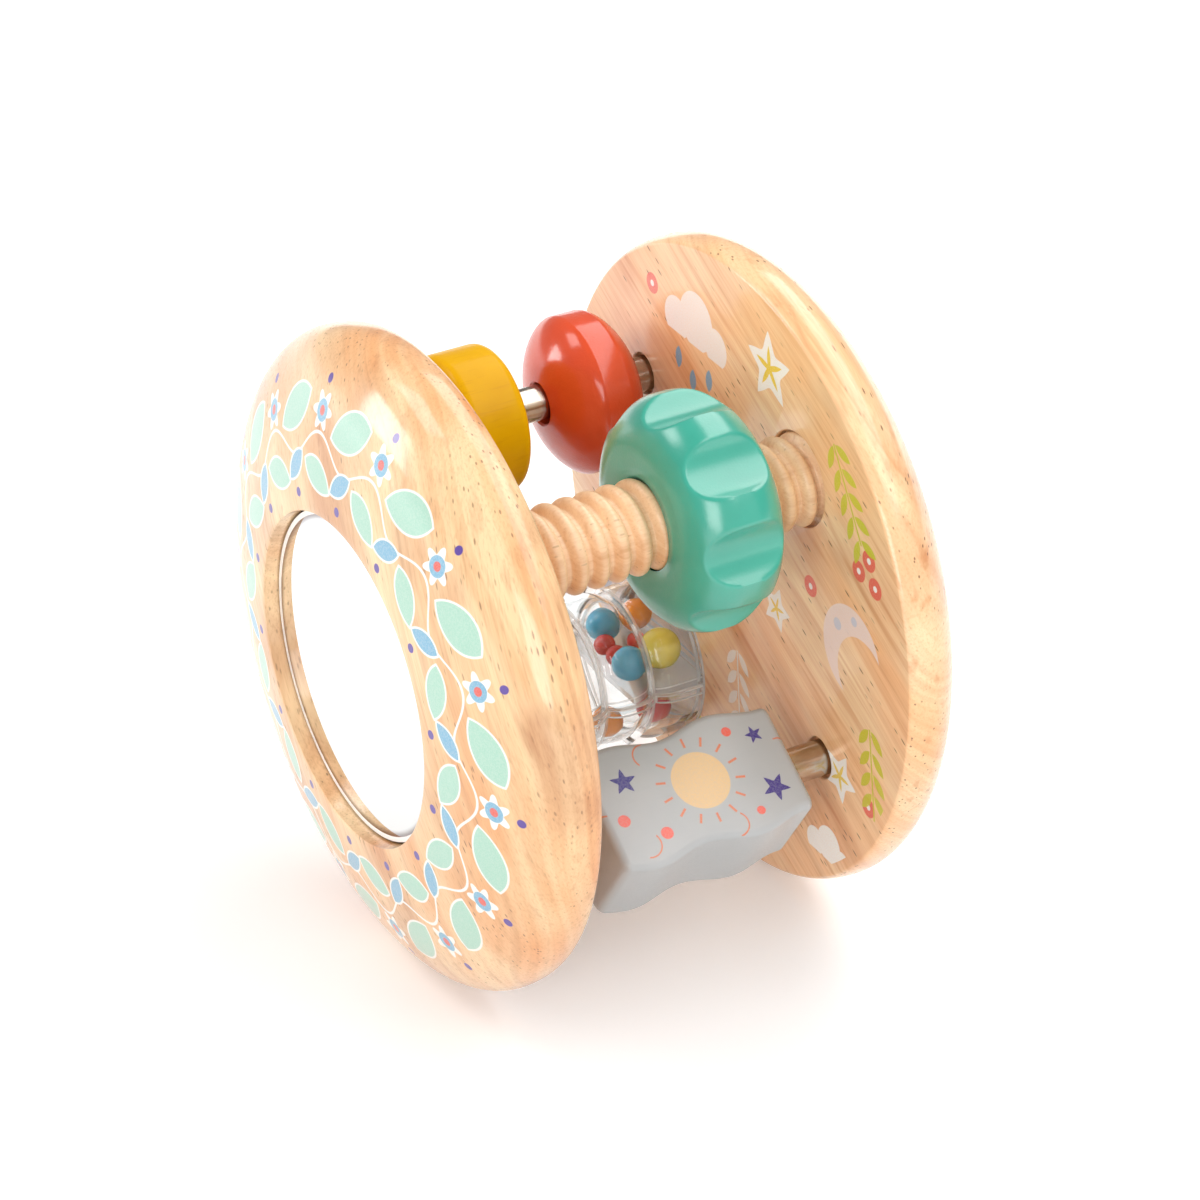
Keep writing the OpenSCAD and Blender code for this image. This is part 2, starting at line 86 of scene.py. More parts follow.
HOLLOW = {"Count": 8, "Hollow radius": 7 * MM, "Hollow place": 24.8 * MM,
          "Softness": 0.5 * MM, "First": math.radians(-5)}
GUIDE_SEAT = (10.4 * MM, 3.7 * MM)
BORE = 3.85 * MM
BLOCK_SIZE = (38.4 * MM, 23.9 * MM, 19.4 * MM)
BLOCK_OFFSET = 1 * MM
BLOCK_ROUND = 1.4 * MM
BLOCK_BORE = 3.7 * MM
BLOCK_TURN = math.radians(33)
WAVE = {"Height": 1.7 * MM, "Length": 20 * MM, "Place": -2.6 * MM}
LOBE, WAIST, LOBES = 15.7 * MM, 14 * MM, 6
CAPSULE_WALL = 2.3 * MM
CAPSULE_HALF = FACE + 3.7 * MM
SEAM = (0.7 * MM, 0.8 * MM)
SEAM_GAP = 0.02 * MM
NUT_R = 21 * MM
RED_BAND, RED_HALF = 2.3 * MM, 9.35 * MM
YELLOW_BAND, YELLOW_HALF, YELLOW_EDGE = 3.8 * MM, 8.9 * MM, 2.2 * MM
YELLOW_ROUND = math.radians(60)

# Small edges and marks that only the scene shows
ROD_EDGE = 0.6 * MM
MIRROR_EDGE = 0.25 * MM
BEAD_EDGE = 0.35 * MM
MOULD_MARK = 0.06 * MM


# Numbers in node trees

class Num:
    """A number inside a node tree, so that a rule is written as plain arithmetic."""

    def __init__(self, tree, socket):
        self.tree, self.socket = tree, socket

    def op(self, kind, *others, first=None):
        node = self.tree.nodes.new("ShaderNodeMath")
        node.operation = kind
        values = (self, *others) if first is None else (first, self)
        for slot, value in zip(node.inputs, values):
            if isinstance(value, Num):
                self.tree.links.new(value.socket, slot)
            else:
                slot.default_value = value
        return Num(self.tree, node.outputs[0])

    def __add__(self, other):
        return self.op("ADD", other)

    def __sub__(self, other):
        return self.op("SUBTRACT", other)

    def __mul__(self, other):
        return self.op("MULTIPLY", other)

    def __truediv__(self, other):
        return self.op("DIVIDE", other)

    def __neg__(self):
        return self.op("MULTIPLY", -1.0)

    def __rsub__(self, other):
        return self.op("SUBTRACT", first=other)

    def __rtruediv__(self, other):
        return self.op("DIVIDE", first=other)

    __radd__, __rmul__ = __add__, __mul__

    def abs(self):
        return self.op("ABSOLUTE")

    def sqrt(self):
        return self.op("SQRT")

    def sin(self):
        return self.op("SINE")

    def cos(self):
        return self.op("COSINE")

    def frac(self):
        return self.op("FRACT")

    def sign(self):
        return self.op("SIGN")

    def min(self, other):
        return self.op("MINIMUM", other)

    def max(self, other):
        return self.op("MAXIMUM", other)

    def atan2(self, other):
        return self.op("ARCTAN2", other)

    def ramp(self, low, high, start=0.0, end=1.0):
        """Runs softly from start to end while the number goes from low to high."""
        node = self.tree.nodes.new("ShaderNodeMapRange")
        node.interpolation_type = "SMOOTHSTEP"
        for slot, value in zip(node.inputs, (self, low, high, start, end)):
            if isinstance(value, Num):
                self.tree.links.new(value.socket, slot)
            else:
                slot.default_value = value
        return Num(self.tree, node.outputs[0])


def hypot(u, v):
    return (u * u + v * v).sqrt()


def parts_of(tree, vector):
    """The three numbers of a vector."""
    node = tree.nodes.new("ShaderNodeSeparateXYZ")
    tree.links.new(vector, node.inputs[0])
    return [Num(tree, s) for s in node.outputs]


def vector_of(tree, *numbers):
    """A vector from three numbers."""
    node = tree.nodes.new("ShaderNodeCombineXYZ")
    for slot, value in zip(node.inputs, numbers):
        if isinstance(value, Num):
            tree.links.new(value.socket, slot)
        else:
            slot.default_value = value
    return node.outputs[0]


# Shapes

def shown(name, mesh):
    thing = bpy.data.objects.new(name, mesh)
    bpy.context.scene.collection.objects.link(thing)
    return thing


def evaluated_mesh(thing):
    """Plain mesh of an object with its modifiers; the object goes."""
    depsgraph = bpy.context.evaluated_depsgraph_get()
    mesh = bpy.data.meshes.new_from_object(thing.evaluated_get(depsgraph))
    old = thing.data
    bpy.data.objects.remove(thing)
    bpy.data.meshes.remove(old)
    return mesh


def weld(mesh):
    """Merges seam and pole points, and turns the faces outwards."""
    work = bmesh.new()
    work.from_mesh(mesh)
    bmesh.ops.remove_doubles(work, verts=work.verts, dist=WELD)
    bmesh.ops.recalc_face_normals(work, faces=work.faces)
    work.to_mesh(mesh)
    work.free()
    return mesh


def grid_mesh(name, rows, closed=False):
    """Mesh over rows of points; every row closes on itself."""
    rows = np.asarray(rows, float)
    count, steps = rows.shape[:2]
    i = np.arange(count if closed else count - 1)[:, None]
    j = np.arange(steps)[None, :]
    here, there = i * steps, (i + 1) % count * steps
    ahead = (j + 1) % steps
    faces = np.stack([here + j, here + ahead, there + ahead, there + j], -1).reshape(-1, 4)
    mesh = bpy.data.meshes.new(name)
    mesh.from_pydata(rows.reshape(-1, 3).tolist(), [], faces.tolist())
    return weld(mesh)


def turned(name, section, centre=(0, 0, 0), steps=192, closed=False):
    """Solid turned about the X line through centre, from (along, radius) points."""
    section = np.asarray(section, float)
    angle = np.arange(steps) * LAP / steps
    along = np.repeat(section[:, :1], steps, 1)
    rows = np.stack([along, section[:, 1:] * np.cos(angle), section[:, 1:] * np.sin(angle)], -1)
    return grid_mesh(name, rows + np.array(centre), closed)


def arc(centre, radius, start, end, steps):
    """Points of an arc in a section, in degrees."""
    angle = np.radians(np.linspace(start, end, steps + 1))
    return [(centre[0] + radius * math.cos(a), centre[1] + radius * math.sin(a)) for a in angle]


def joined(name, meshes):
    work = bmesh.new()
    for mesh in meshes:
        work.from_mesh(mesh)
        bpy.data.meshes.remove(mesh)
    out = bpy.data.meshes.new(name)
    work.to_mesh(out)
    work.free()
    return out


def cut(mesh, tool, how="DIFFERENCE"):
    """Mesh with another taken out of it, added to it or kept in common."""
    body, cutter = shown("body", mesh), shown("cutter", tool)
    modifier = body.modifiers.new("cut", "BOOLEAN")
    modifier.operation = how
    modifier.solver = "EXACT"
    modifier.object = cutter
    result = evaluated_mesh(body)
    bpy.data.objects.remove(cutter)
    bpy.data.meshes.remove(tool)
    return result


def slab(name, outline, low, high):
    """Solid over a closed outline of (x, y) points between two heights."""
    count = len(outline)
    points = [(x, y, low) for x, y in outline] + [(x, y, high) for x, y in outline]
    faces = [tuple(range(count)), tuple(range(2 * count - 1, count - 1, -1))]
    faces += [(i, (i + 1) % count, count + (i + 1) % count, count + i) for i in range(count)]
    mesh = bpy.data.meshes.new(name)
    mesh.from_pydata(points, [], faces)
    return weld(mesh)


def piece(name, mesh, material, body, slot, *nodes, crease=38):
    """A finished piece: smooth, with crisp edges, one finish, riding on its body."""
    mesh.name = name
    mesh.materials.clear()
    mesh.materials.append(material)
    mesh.shade_smooth()
    mesh.set_sharp_from_angle(angle=math.radians(crease))
    thing = shown(name, mesh)
    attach(thing, body)
    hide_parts(*nodes)


# Geometry Nodes

def shape_tree(name, sizes):
    """Empty tree with named number inputs and a material input. Returns it with its inputs."""
    tree = bpy.data.node_groups.new(name, "GeometryNodeTree")
    tree.interface.new_socket("Geometry", in_out="INPUT", socket_type="NodeSocketGeometry")
    for size in sizes:
        tree.interface.new_socket(size, in_out="INPUT", socket_type="NodeSocketFloat")
    tree.interface.new_socket("Finish", in_out="INPUT", socket_type="NodeSocketMaterial")
    tree.interface.new_socket("Geometry", in_out="OUTPUT", socket_type="NodeSocketGeometry")
    given = tree.nodes.new("NodeGroupInput")
    return tree, {s.name: s for s in given.outputs}


def end_tree(tree, given, geometry):
    """Closes a tree with Realize Instances and Set Material."""
    realize = tree.nodes.new("GeometryNodeRealizeInstances")
    paint = tree.nodes.new("GeometryNodeSetMaterial")
    out = tree.nodes.new("NodeGroupOutput")
    tree.links.new(geometry, realize.inputs[0])
    tree.links.new(realize.outputs[0], paint.inputs["Geometry"])
    tree.links.new(given["Finish"], paint.inputs["Material"])
    tree.links.new(paint.outputs[0], out.inputs[0])


def shaped(tree, mesh, sizes, material):
    """Plain mesh that a tree makes from a base mesh and its sizes."""
    thing = shown("shaped", mesh)
    modifier = thing.modifiers.new("shape", "NODES")
    modifier.node_group = tree
    for item in tree.interface.items_tree:
        if item.in_out == "INPUT" and item.name in sizes:
            modifier[item.identifier] = float(sizes[item.name])
        elif item.in_out == "INPUT" and item.name == "Finish":
            modifier[item.identifier] = material
    return weld(evaluated_mesh(thing))


def moved(tree, geometry, position):
    node = tree.nodes.new("GeometryNodeSetPosition")
    tree.links.new(geometry, node.inputs["Geometry"])
    tree.links.new(position, node.inputs["Position"])
    return node.outputs[0]


def thread_radius(tree, given, along, angle):
    """Radius of the right-hand thread at a place and an angle about the screw."""
    size = {name: Num(tree, given[name]) for name in THREAD}
    turns = (along - size["Phase"]) / size["Pitch"] - (angle - LAP / 4) / LAP
    off = ((turns + 0.5).frac() - 0.5).abs() * size["Pitch"]
    return size["Top"] - size["Depth"] * (off / size["Reach"]).min(1.0).op("POWER", size["Fullness"])


def screw_tree(along_steps, round_steps):
    """A bar with a thread between two plain tenons, wrapped from a flat grid."""
    tree, given = shape_tree("screw_thread", [*THREAD, "Shoulder", "Tenon radius", "Tenon length", "Cap"])
    size = {name: Num(tree, socket) for name, socket in given.items()}
    half = size["Shoulder"] + size["Tenon length"]
    sheet = tree.nodes.new("GeometryNodeMeshGrid")
    tree.links.new(((half + size["Cap"]) * 2).socket, sheet.inputs["Size X"])
    sheet.inputs["Size Y"].default_value = LAP
    sheet.inputs["Vertices X"].default_value = along_steps
    sheet.inputs["Vertices Y"].default_value = round_steps + 1
    across = tree.nodes.new("GeometryNodeInputPosition")
    flat, angle, _ = parts_of(tree, across.outputs[0])
    along = flat.max(-half).min(half)
    threaded = thread_radius(tree, given, along, angle)
    on_tenon = (along.abs() - size["Shoulder"]).op("GREATER_THAN", 0.0)
    radius = threaded + (size["Tenon radius"] - threaded) * on_tenon
    radius = radius * ((half + size["Cap"] - flat.abs()) / size["Cap"]).max(0.0).min(1.0)
    place = vector_of(tree, along, radius * angle.cos(), radius * angle.sin())
    end_tree(tree, given, moved(tree, sheet.outputs[0], place))
    return tree


def nut_tree():
    """Cuts finger hollows round a turned body and the thread into its bore."""
    tree, given = shape_tree("finger_hollows", [*HOLLOW, *THREAD, "Bore limit"])
    size = {name: Num(tree, socket) for name, socket in given.items()}
    place = tree.nodes.new("GeometryNodeInputPosition")
    along, y, z = parts_of(tree, place.outputs[0])
    radius = hypot(y, z)
    step = LAP / size["Count"]
    lap = (z.atan2(y) - LAP / 4 - size["First"]) / step
    off = ((lap + 0.5).frac() - 0.5) * step
    sideways = size["Hollow place"] * off.sin()
    depth = (size["Hollow radius"] * size["Hollow radius"] - sideways * sideways).max(0.0).sqrt()
    hollow = size["Hollow place"] * off.cos() - depth
    outer = radius.op("SMOOTH_MIN", hollow, size["Softness"])
    inner = thread_radius(tree, given, along, z.atan2(y))
    in_bore = (size["Bore limit"] - radius).op("GREATER_THAN", 0.0)
    new = outer + (inner - outer) * in_bore
    scale = new / radius.max(1e-6)
    end_tree(tree, given, moved(tree, given["Geometry"], vector_of(tree, along, y * scale, z * scale)))
    return tree


def wave_tree():
    """Pushes both long sides of a bar in and out in waves."""
    tree, given = shape_tree("side_waves", [*WAVE])
    size = {name: Num(tree, socket) for name, socket in given.items()}
    place = tree.nodes.new("GeometryNodeInputPosition")
    along, y, z = parts_of(tree, place.outputs[0])
    push = size["Height"] * (((along - size["Place"]) / size["Length"] * LAP).cos() + 1.0) * -0.5
    end_tree(tree, given, moved(tree, given["Geometry"], vector_of(tree, along, y + y.sign() * push, z)))
    return tree


# Finishes

def srgb(red, green, blue):
    """Linear colour from 0-255 values."""
    def linear(c):
        return c / 12.92 if c <= 0.04045 else ((c + 0.055) / 1.055) ** 2.4
    return (*(linear(c / 255) for c in (red, green, blue)), 1.0)


class Finish:
    """A material with its Principled shader, and the textures its rules draw on."""

    def __init__(self, name, **sockets):
        self.material = bpy.data.materials.new(name)
        self.material.use_nodes = True
        self.tree = self.material.node_tree
        self.shader = self.tree.nodes["Principled BSDF"]
        for socket, value in sockets.items():
            self.shader.inputs[socket.replace("_", " ")].default_value = value
        coordinate = self.tree.nodes.new("ShaderNodeTexCoord")
        self.place = [n * 1000.0 for n in parts_of(self.tree, coordinate.outputs["Object"])]

    def vector(self, *numbers):
        return vector_of(self.tree, *numbers)

    def noise(self, vector, detail=2.0, roughness=0.5, distortion=0.0):
        node = self.tree.nodes.new("ShaderNodeTexNoise")
        node.inputs["Scale"].default_value = 1.0
        node.inputs["Detail"].default_value = detail
        node.inputs["Roughness"].default_value = roughness
        node.inputs["Distortion"].default_value = distortion
        self.tree.links.new(vector, node.inputs["Vector"])
        return Num(self.tree, node.outputs[0])

    def cells(self, vector):
        """Distance to the nearest cell point and a random number for the cell."""
        node = self.tree.nodes.new("ShaderNodeTexVoronoi")
        node.inputs["Scale"].default_value = 1.0
        self.tree.links.new(vector, node.inputs["Vector"])
        return Num(self.tree, node.outputs["Distance"]), parts_of(self.tree, node.outputs["Color"])[0]

    def mix(self, share, under, over):
        """Colour of over laid on under by a share."""
        node = self.tree.nodes.new("ShaderNodeMix")
        node.data_type = "RGBA"
        for slot, value in ((0, share), (6, under), (7, over)):
            if isinstance(value, Num):
                self.tree.links.new(value.socket, node.inputs[slot])
            elif isinstance(value, bpy.types.NodeSocket):
                self.tree.links.new(value, node.inputs[slot])
            else:
                node.inputs[slot].default_value = value
        return node.outputs[2]

    def relief(self, height, strength, distance):
        node = self.tree.nodes.new("ShaderNodeBump")
        node.inputs["Strength"].default_value = strength
        node.inputs["Distance"].default_value = distance
        self.tree.links.new(height.socket, node.inputs["Height"])
        self.tree.links.new(node.outputs[0], self.shader.inputs["Normal"])

    def colour(self, socket):
        self.tree.links.new(socket, self.shader.inputs["Base Color"])

    def rough(self, number):
        self.tree.links.new(number.socket, self.shader.inputs["Roughness"])


# Disc wood tones, partly their own and partly painted light: the plain disc's wood is painted lighter for its
# inner face in shade between the discs, the mirror disc's wood darker against the stronger light on its dome.
MIRROR_DISC_WOOD_PAINTED_SHADE = (srgb(255, 220, 172), srgb(236, 166, 108), srgb(172, 104, 56))
PLAIN_DISC_WOOD_PAINTED_LIGHT = (srgb(255, 224, 180), srgb(254, 198, 144), srgb(206, 130, 76))
SCREW_WOOD = (srgb(250, 218, 180), srgb(242, 198, 152), srgb(206, 148, 98))
PORE = srgb(112, 70, 40)


def wood(finish, across, side, grain, seed, hues, pores=0.8, streaks=1.0, dense=0.3):
    """Straight-grained pale hardwood: growth bands, fibres and open pores along the grain.

    The pores are denser with a lower value of dense and darker with a higher one of pores.
    """
    pale, warm, heart = hues
    a, b, c = across + seed * 37.0, side + seed * 11.0, grain + seed * 53.0
    sway = finish.noise(finish.vector(a * 0.025, b * 0.025, c * 0.008), 1.0)
    ring = hypot(across - 95.0, side + 150.0) + sway * 26.0
    band = finish.noise(finish.vector(ring * 0.16, seed, 0.3), 2.0).ramp(0.36, 0.66)
    fine = finish.noise(finish.vector(ring * 0.9, seed + 4.0, c * 0.012), 3.0).ramp(0.34, 0.72)
    patch = finish.noise(finish.vector(a * 0.045, b * 0.045, c * 0.02), 2.0).ramp(0.4, 0.66)
    streak = finish.noise(finish.vector(a * 0.42, b * 0.42, c * 0.035), 2.0).ramp(0.56, 0.72)
    fibre = finish.noise(finish.vector(a * 2.6, b * 2.6, c * 0.09), 3.0, 0.6)
    blush = finish.noise(finish.vector(a * 0.05, b * 0.05, c * 0.028 + 7.0), 2.0).ramp(0.5, 0.7)
    gap, chance = finish.cells(finish.vector(a * 1.0, b * 1.0, c * 0.22))
    pore = gap.ramp(0.1, 0.24, 1.0, 0.0) * chance.ramp(dense, dense + 0.2)
    crowd = finish.noise(finish.vector(a * 0.07, b * 0.07, c * 0.03), 1.0)
    pore = pore * crowd.ramp(0.36, 0.56, 0.25, 1.0)
    late = finish.noise(finish.vector(ring * 0.3, seed + 2.0, c * 0.004), 2.0, 0.6).ramp(0.56, 0.7)
    hue = finish.mix(band * 0.4 + patch * 0.6, pale, warm)
    hue = finish.mix(late * 0.34 * streaks, hue, heart)
    hue = finish.mix((fine * 0.26 + streak * 0.3) * streaks + blush * 0.42, hue, heart)
    hue = finish.mix(fibre.ramp(0.44, 0.72) * 0.24, hue, heart)
    hue = finish.mix(pore * pores, hue, PORE)
    finish.relief(fibre * 0.35 - pore * pores, 0.22, 0.00025)
    finish.rough(fibre.ramp(0.35, 0.7, 0.3, 0.42) + pore * 0.2)
    return hue


MINT = srgb(168, 212, 192)
WHITE_INK = srgb(250, 248, 243)
SKY = srgb(122, 178, 208)
PLUM = srgb(98, 74, 158)
CORAL = srgb(232, 98, 80)
NAVY = srgb(58, 42, 130)
SAND = srgb(224, 190, 140)
LEMON = srgb(240, 205, 60)
OLIVE = srgb(206, 200, 52)
BLUSH = srgb(244, 222, 214)
LILAC = srgb(205, 205, 218)
RUST = srgb(214, 120, 78)


class Print:
    """Flat ink on a surface, drawn in millimetres from outlines."""

    def __init__(self, finish, under, inside):
        self.finish, self.hue, self.inside = finish, under, inside
        x, y, z = finish.place
        grain = finish.noise(finish.vector(x * 3.2, y * 3.2, z * 3.2), 2.0, 0.7)
        self.cover = grain.ramp(0.36, 0.62, 0.84, 1.0)

    def lay(self, outline, hue, solid=False):
        """Ink inside an outline, given as a distance that is below zero inside."""
        share = outline.ramp(0.1, -0.1) * self.inside
        self.hue = self.finish.mix(share if solid else share * self.cover, self.hue, hue)


def seen_from(u, v, at, degrees=0.0):
    """Coordinates of a motif that lies at a place, turned by some degrees."""
    c, s = math.cos(math.radians(degrees)), math.sin(math.radians(degrees))
    du, dv = u - at[0], v - at[1]
    return du * c + dv * s, dv * c - du * s


def leaf(u, v, length, width):
    ball = (length * length + width * width) / (2 * width)
    return hypot(u, v.abs() + (ball - width)) - ball


def cloud(u, v, size):
    top = hypot(u + 0.85 * size, v) - 0.55 * size
    top = top.min(hypot(u - 0.05 * size, v - 0.3 * size) - 0.75 * size)
    top = top.min(hypot(u - 0.95 * size, v) - 0.5 * size)
    return top.max(-v - 0.38 * size)


def crescent(u, v, size):
    return (hypot(u, v) - size).max(-(hypot(u - 0.5 * size, v - 0.22 * size) - 0.86 * size))


def star(u, v, size, points=5, waist=0.45):
    lap = (v.atan2(u) * (points / LAP)).frac()
    tip = ((lap - 0.5).abs() * 2.0)
    return hypot(u, v) - (tip * tip * (1 - waist) + waist) * size


RING_REPEATS = 14


def ring_print(finish, wood_hue):
    """A garland of leaves, round buds and dots round the mirror."""
    x, y, z = finish.place
    v = z - DISC_R / MM
    r = hypot(y, v)
    inside = (x + FACE / MM + 6.0).op("LESS_THAN", 0.0) * (r - 31.0).op("GREATER_THAN", 0.0)
    art = Print(finish, wood_hue, inside)
    lap = v.atan2(y) * (RING_REPEATS / LAP)
    step = LAP / RING_REPEATS
    middle = ((lap.frac() - 0.5) * step) * r
    between = (((lap + 0.5).frac() - 0.5) * step) * r
    vine = (r - 42.5 - (lap * LAP).cos() * 2.3).abs() - 0.28
    art.lay(vine, WHITE_INK)
    for u, at, turn, size, hue in (
            (middle, 48.0, 28.0, (6.2, 3.3), MINT), (between, 37.6, -24.0, (5.0, 2.5), MINT),
            (middle, 38.4, 40.0, (3.7, 1.7), SKY)):
        lu, lv = seen_from(u, r, (0.0, at), turn)
        shape = leaf(lu, lv, *size)
        art.lay(shape - 0.4, WHITE_INK)
        art.lay(shape, hue)
    bu, bv = seen_from(between, r, (0.0, 48.4))
    around = hypot(bu, bv)
    petals = around - 2.75 - (bv.atan2(bu) * 6.0).cos() * 0.75
    art.lay(petals, WHITE_INK)
    art.lay(around - 1.9, SKY)
    art.lay(around - 0.85, CORAL)
    art.lay(hypot(middle, r - 33.6) - 0.85, PLUM, True)
    art.lay(hypot(between, r - 53.6) - 0.8, PLUM, True)
    return art


SPRIGS = (((-33.0, 41.0), 238.0, 5, OLIVE), ((-3.0, -17.0), 265.0, 4, WHITE_INK),
          ((-47.0, -9.0), 262.0, 4, OLIVE), ((36.0, -8.0), 250.0, 5, WHITE_INK),
          ((20.0, -34.0), 220.0, 4, OLIVE))


def face_print(finish, wood_hue):
    """Clouds, moons, berries and sprigs on the plain disc's inner face."""
    x, y, z = finish.place
    v = z - DISC_R / MM
    inside = (x - FACE / MM - 0.15).op("LESS_THAN", 0.0) * (hypot(y, v) - 57.0).op("LESS_THAN", 0.0)
    art = Print(finish, wood_hue, inside)
    for at, size, hue in (((13.0, 41.0), 7.5, WHITE_INK), ((-35.0, -42.0), 5.0, WHITE_INK),
                          ((40.0, 16.0), 6.0, WHITE_INK), ((6.0, -48.0), 5.5, BLUSH)):
        u, w = seen_from(y, v, at, 0.0)
        art.lay(cloud(-u, w, size), hue)
    for at in ((18.5, 33.5), (13.5, 31.0), (8.0, 33.5)):
        u, w = seen_from(y, v, at, 90.0)
        art.lay(leaf(u, w, 2.2, 1.1), SKY)
    for at, size, hue, turn in (((-40.5, 3.0), 9.0, BLUSH, 200.0), ((44.0, -26.0), 7.0, BLUSH, 20.0)):
        u, w = seen_from(y, v, at, turn)
        art.lay(crescent(u, w, size), hue)
        art.lay(hypot(u + 0.62 * size, w + 0.2 * size) - 0.13 * size, LILAC)
        art.lay(hypot(u + 0.2 * size, w + 0.72 * size) - 0.1 * size, LILAC)
    for at, size, turn in (((-12.0, 45.5), 6.2, 12.0), ((-38.0, -24.0), 4.4, 40.0),
                           ((-16.0, -1.0), 3.6, 30.0)):
        u, w = seen_from(y, v, at, turn)
        shape = star(u, w, size)
        art.lay(shape - 0.9, WHITE_INK)
        art.lay(shape + 0.3 * size, LEMON)
    for at in ((-45.0, 24.0), (-42.0, 20.5), (-47.2, 19.6), (-47.5, -25.0), (-27.0, 9.5), (28.0, 44.0)):
        around = hypot(y - at[0], v - at[1])
        art.lay(around - 2.0, CORAL)
        art.lay(around - 0.6, WHITE_INK)
    for at, heading, count, hue in SPRIGS:
        u, w = seen_from(y, v, at, heading)
        art.lay((w.abs() - 0.22).max((u - 9.0).abs() - 9.0), hue)
        lap = ((u / 4.2).frac() - 0.5) * 4.2
        side = w.abs() - 2.1
        lu, lv = seen_from(lap, side, (0.0, 0.0), 42.0)
        art.lay(leaf(lu, lv, 2.5, 0.95).max((u - 2.1 * count).abs() - 2.1 * count), hue)
    return art


def block_print(finish, paint_hue, along, across, inside):
    """A sun with short rays, stars, dots and curls on the block's broad face."""
    art = Print(finish, paint_hue, inside)
    u, w = seen_from(along, across, (1.0, 0.6))
    around = hypot(u, w)
    ray = (((w.atan2(u) * (14 / LAP)).frac() - 0.5) * (LAP / 14)).abs() * around - 0.22
    art.lay(ray.max((around - 7.4).abs() - 0.9), RUST)
    art.lay(around - 5.4, SAND)
    for at, size, turn in (((-12.5, 4.6), 2.5, 10.0), ((13.6, -4.8), 2.7, 50.0), ((14.2, 5.6), 1.7, 25.0)):
        su, sw = seen_from(along, across, at, turn)
        art.lay(star(su, sw, size), NAVY)
    for at, size in (((-15.6, -2.2), 1.15), ((-9.2, -6.6), 1.15), ((9.6, 7.6), 0.9), ((9.0, -8.0), 0.8)):
        art.lay(hypot(along - at[0], across - at[1]) - size, CORAL)
    for at, size, turn in (((-17.6, 2.2), 2.6, 100.0), ((-13.4, -7.6), 2.4, 230.0),
                           ((17.6, 1.2), 2.5, 300.0), ((-6.6, 8.0), 2.2, 60.0),
                           ((3.6, -9.0), 2.2, 250.0)):
        cu, cw = seen_from(along, across, at, turn)
        art.lay(((hypot(cu, cw) - size).abs() - 0.14).max(0.35 * size - cw), RUST)
    return art


def disc_finish(name, seed, hues, lean, drawing, **grain):
    """Printed disc wood whose grain leans back from the upright by some degrees."""
    finish = Finish(name, Specular_IOR_Level=0.3, Coat_Weight=0.7, Coat_Roughness=0.12)
    x, y, z = finish.place
    c, s = math.cos(math.radians(lean)), math.sin(math.radians(lean))
    hue = wood(finish, x, y * c - z * s, z * c + y * s, seed, hues, **grain)
    finish.colour(drawing(finish, hue).hue)
    return finish.material


def screw_finish():
    finish = Finish("turned_screw_wood", Coat_Weight=0.1, Coat_Roughness=0.25)
    x, y, z = finish.place
    finish.colour(wood(finish, y, z, x, 2.7, SCREW_WOOD, pores=0.3))
    return finish.material


def paint_finish(name, colour, shade, lines=0.0, peel=0.5, rough=(0.3, 0.42), **gloss):
    """Satin paint over wood: soft cloudiness, fine orange peel and faint grain lines."""
    finish = Finish(name, **gloss)
    x, y, z = finish.place
    cloudy = finish.noise(finish.vector(x * 0.12, y * 0.12, z * 0.12), 3.0).ramp(0.3, 0.75)
    skin = finish.noise(finish.vector(x * 2.4, y * 2.4, z * 2.4), 3.0, 0.6)
    grain = finish.noise(finish.vector(x * 0.16, y * 2.1, z * 2.1), 2.0, 0.6)
    fleck, chance = finish.cells(finish.vector(x * 0.35, y * 0.35, z * 0.35))
    speck = fleck.ramp(0.04, 0.09, 1.0, 0.0) * chance.ramp(0.72, 0.78)
    hue = finish.mix(cloudy * 0.32, colour, shade)
    hue = finish.mix(grain.ramp(0.55, 0.72) * lines, hue, shade)
    hue = finish.mix(speck * 0.4, hue, shade)
    finish.colour(hue)
    finish.relief(skin * peel + grain * lines + speck * 0.3, 0.16, 0.0003)
    finish.rough(skin.ramp(0.3, 0.7, *rough))
    return finish


def steel_finish():
    finish = Finish("ground_steel", Metallic=1.0)
    x, y, z = finish.place
    lines = finish.noise(finish.vector(x * 6.0, y * 0.2, z * 0.2), 3.0, 0.7)
    stain = finish.noise(finish.vector(x * 0.1, y * 0.3, z * 0.3), 2.0)
    finish.colour(finish.mix(stain.ramp(0.35, 0.7), srgb(206, 196, 184), srgb(176, 164, 150)))
    finish.relief(lines, 0.06, 0.0001)
    finish.rough(lines.ramp(0.3, 0.7, 0.14, 0.26))
    return finish.material


def mirror_finish(radius):
    """Silvered sheet with a pale polished edge, and a painted reflection of the recess wall: a grey band inside
    the edge and a dark brown line at the rim.
    """
    finish = Finish("mirror_sheet", Metallic=1.0)
    x, y, z = finish.place
    haze = finish.noise(finish.vector(x * 0.05, y * 0.05, z * 0.05), 2.0)
    depth = radius / MM - hypot(y, z - DISC_R / MM)
    hue = finish.mix(haze, srgb(246, 248, 249), srgb(240, 243, 245))
    # Painted reflection of the recess wall: the sheet greys towards the rim.
    hue = finish.mix(depth.ramp(2.6, 1.2), hue, srgb(158, 150, 150))
    edge = depth.ramp(1.25, 1.1)
    hue = finish.mix(edge, hue, srgb(255, 255, 255))
    # Painted reflection of the recess wall: a dark brown line at the very rim.
    finish.colour(finish.mix(depth.ramp(0.3, 0.2), hue, srgb(70, 56, 46)))
    finish.rough(haze.ramp(0.3, 0.7, 0.015, 0.035) + edge * 0.75)
    return finish.material


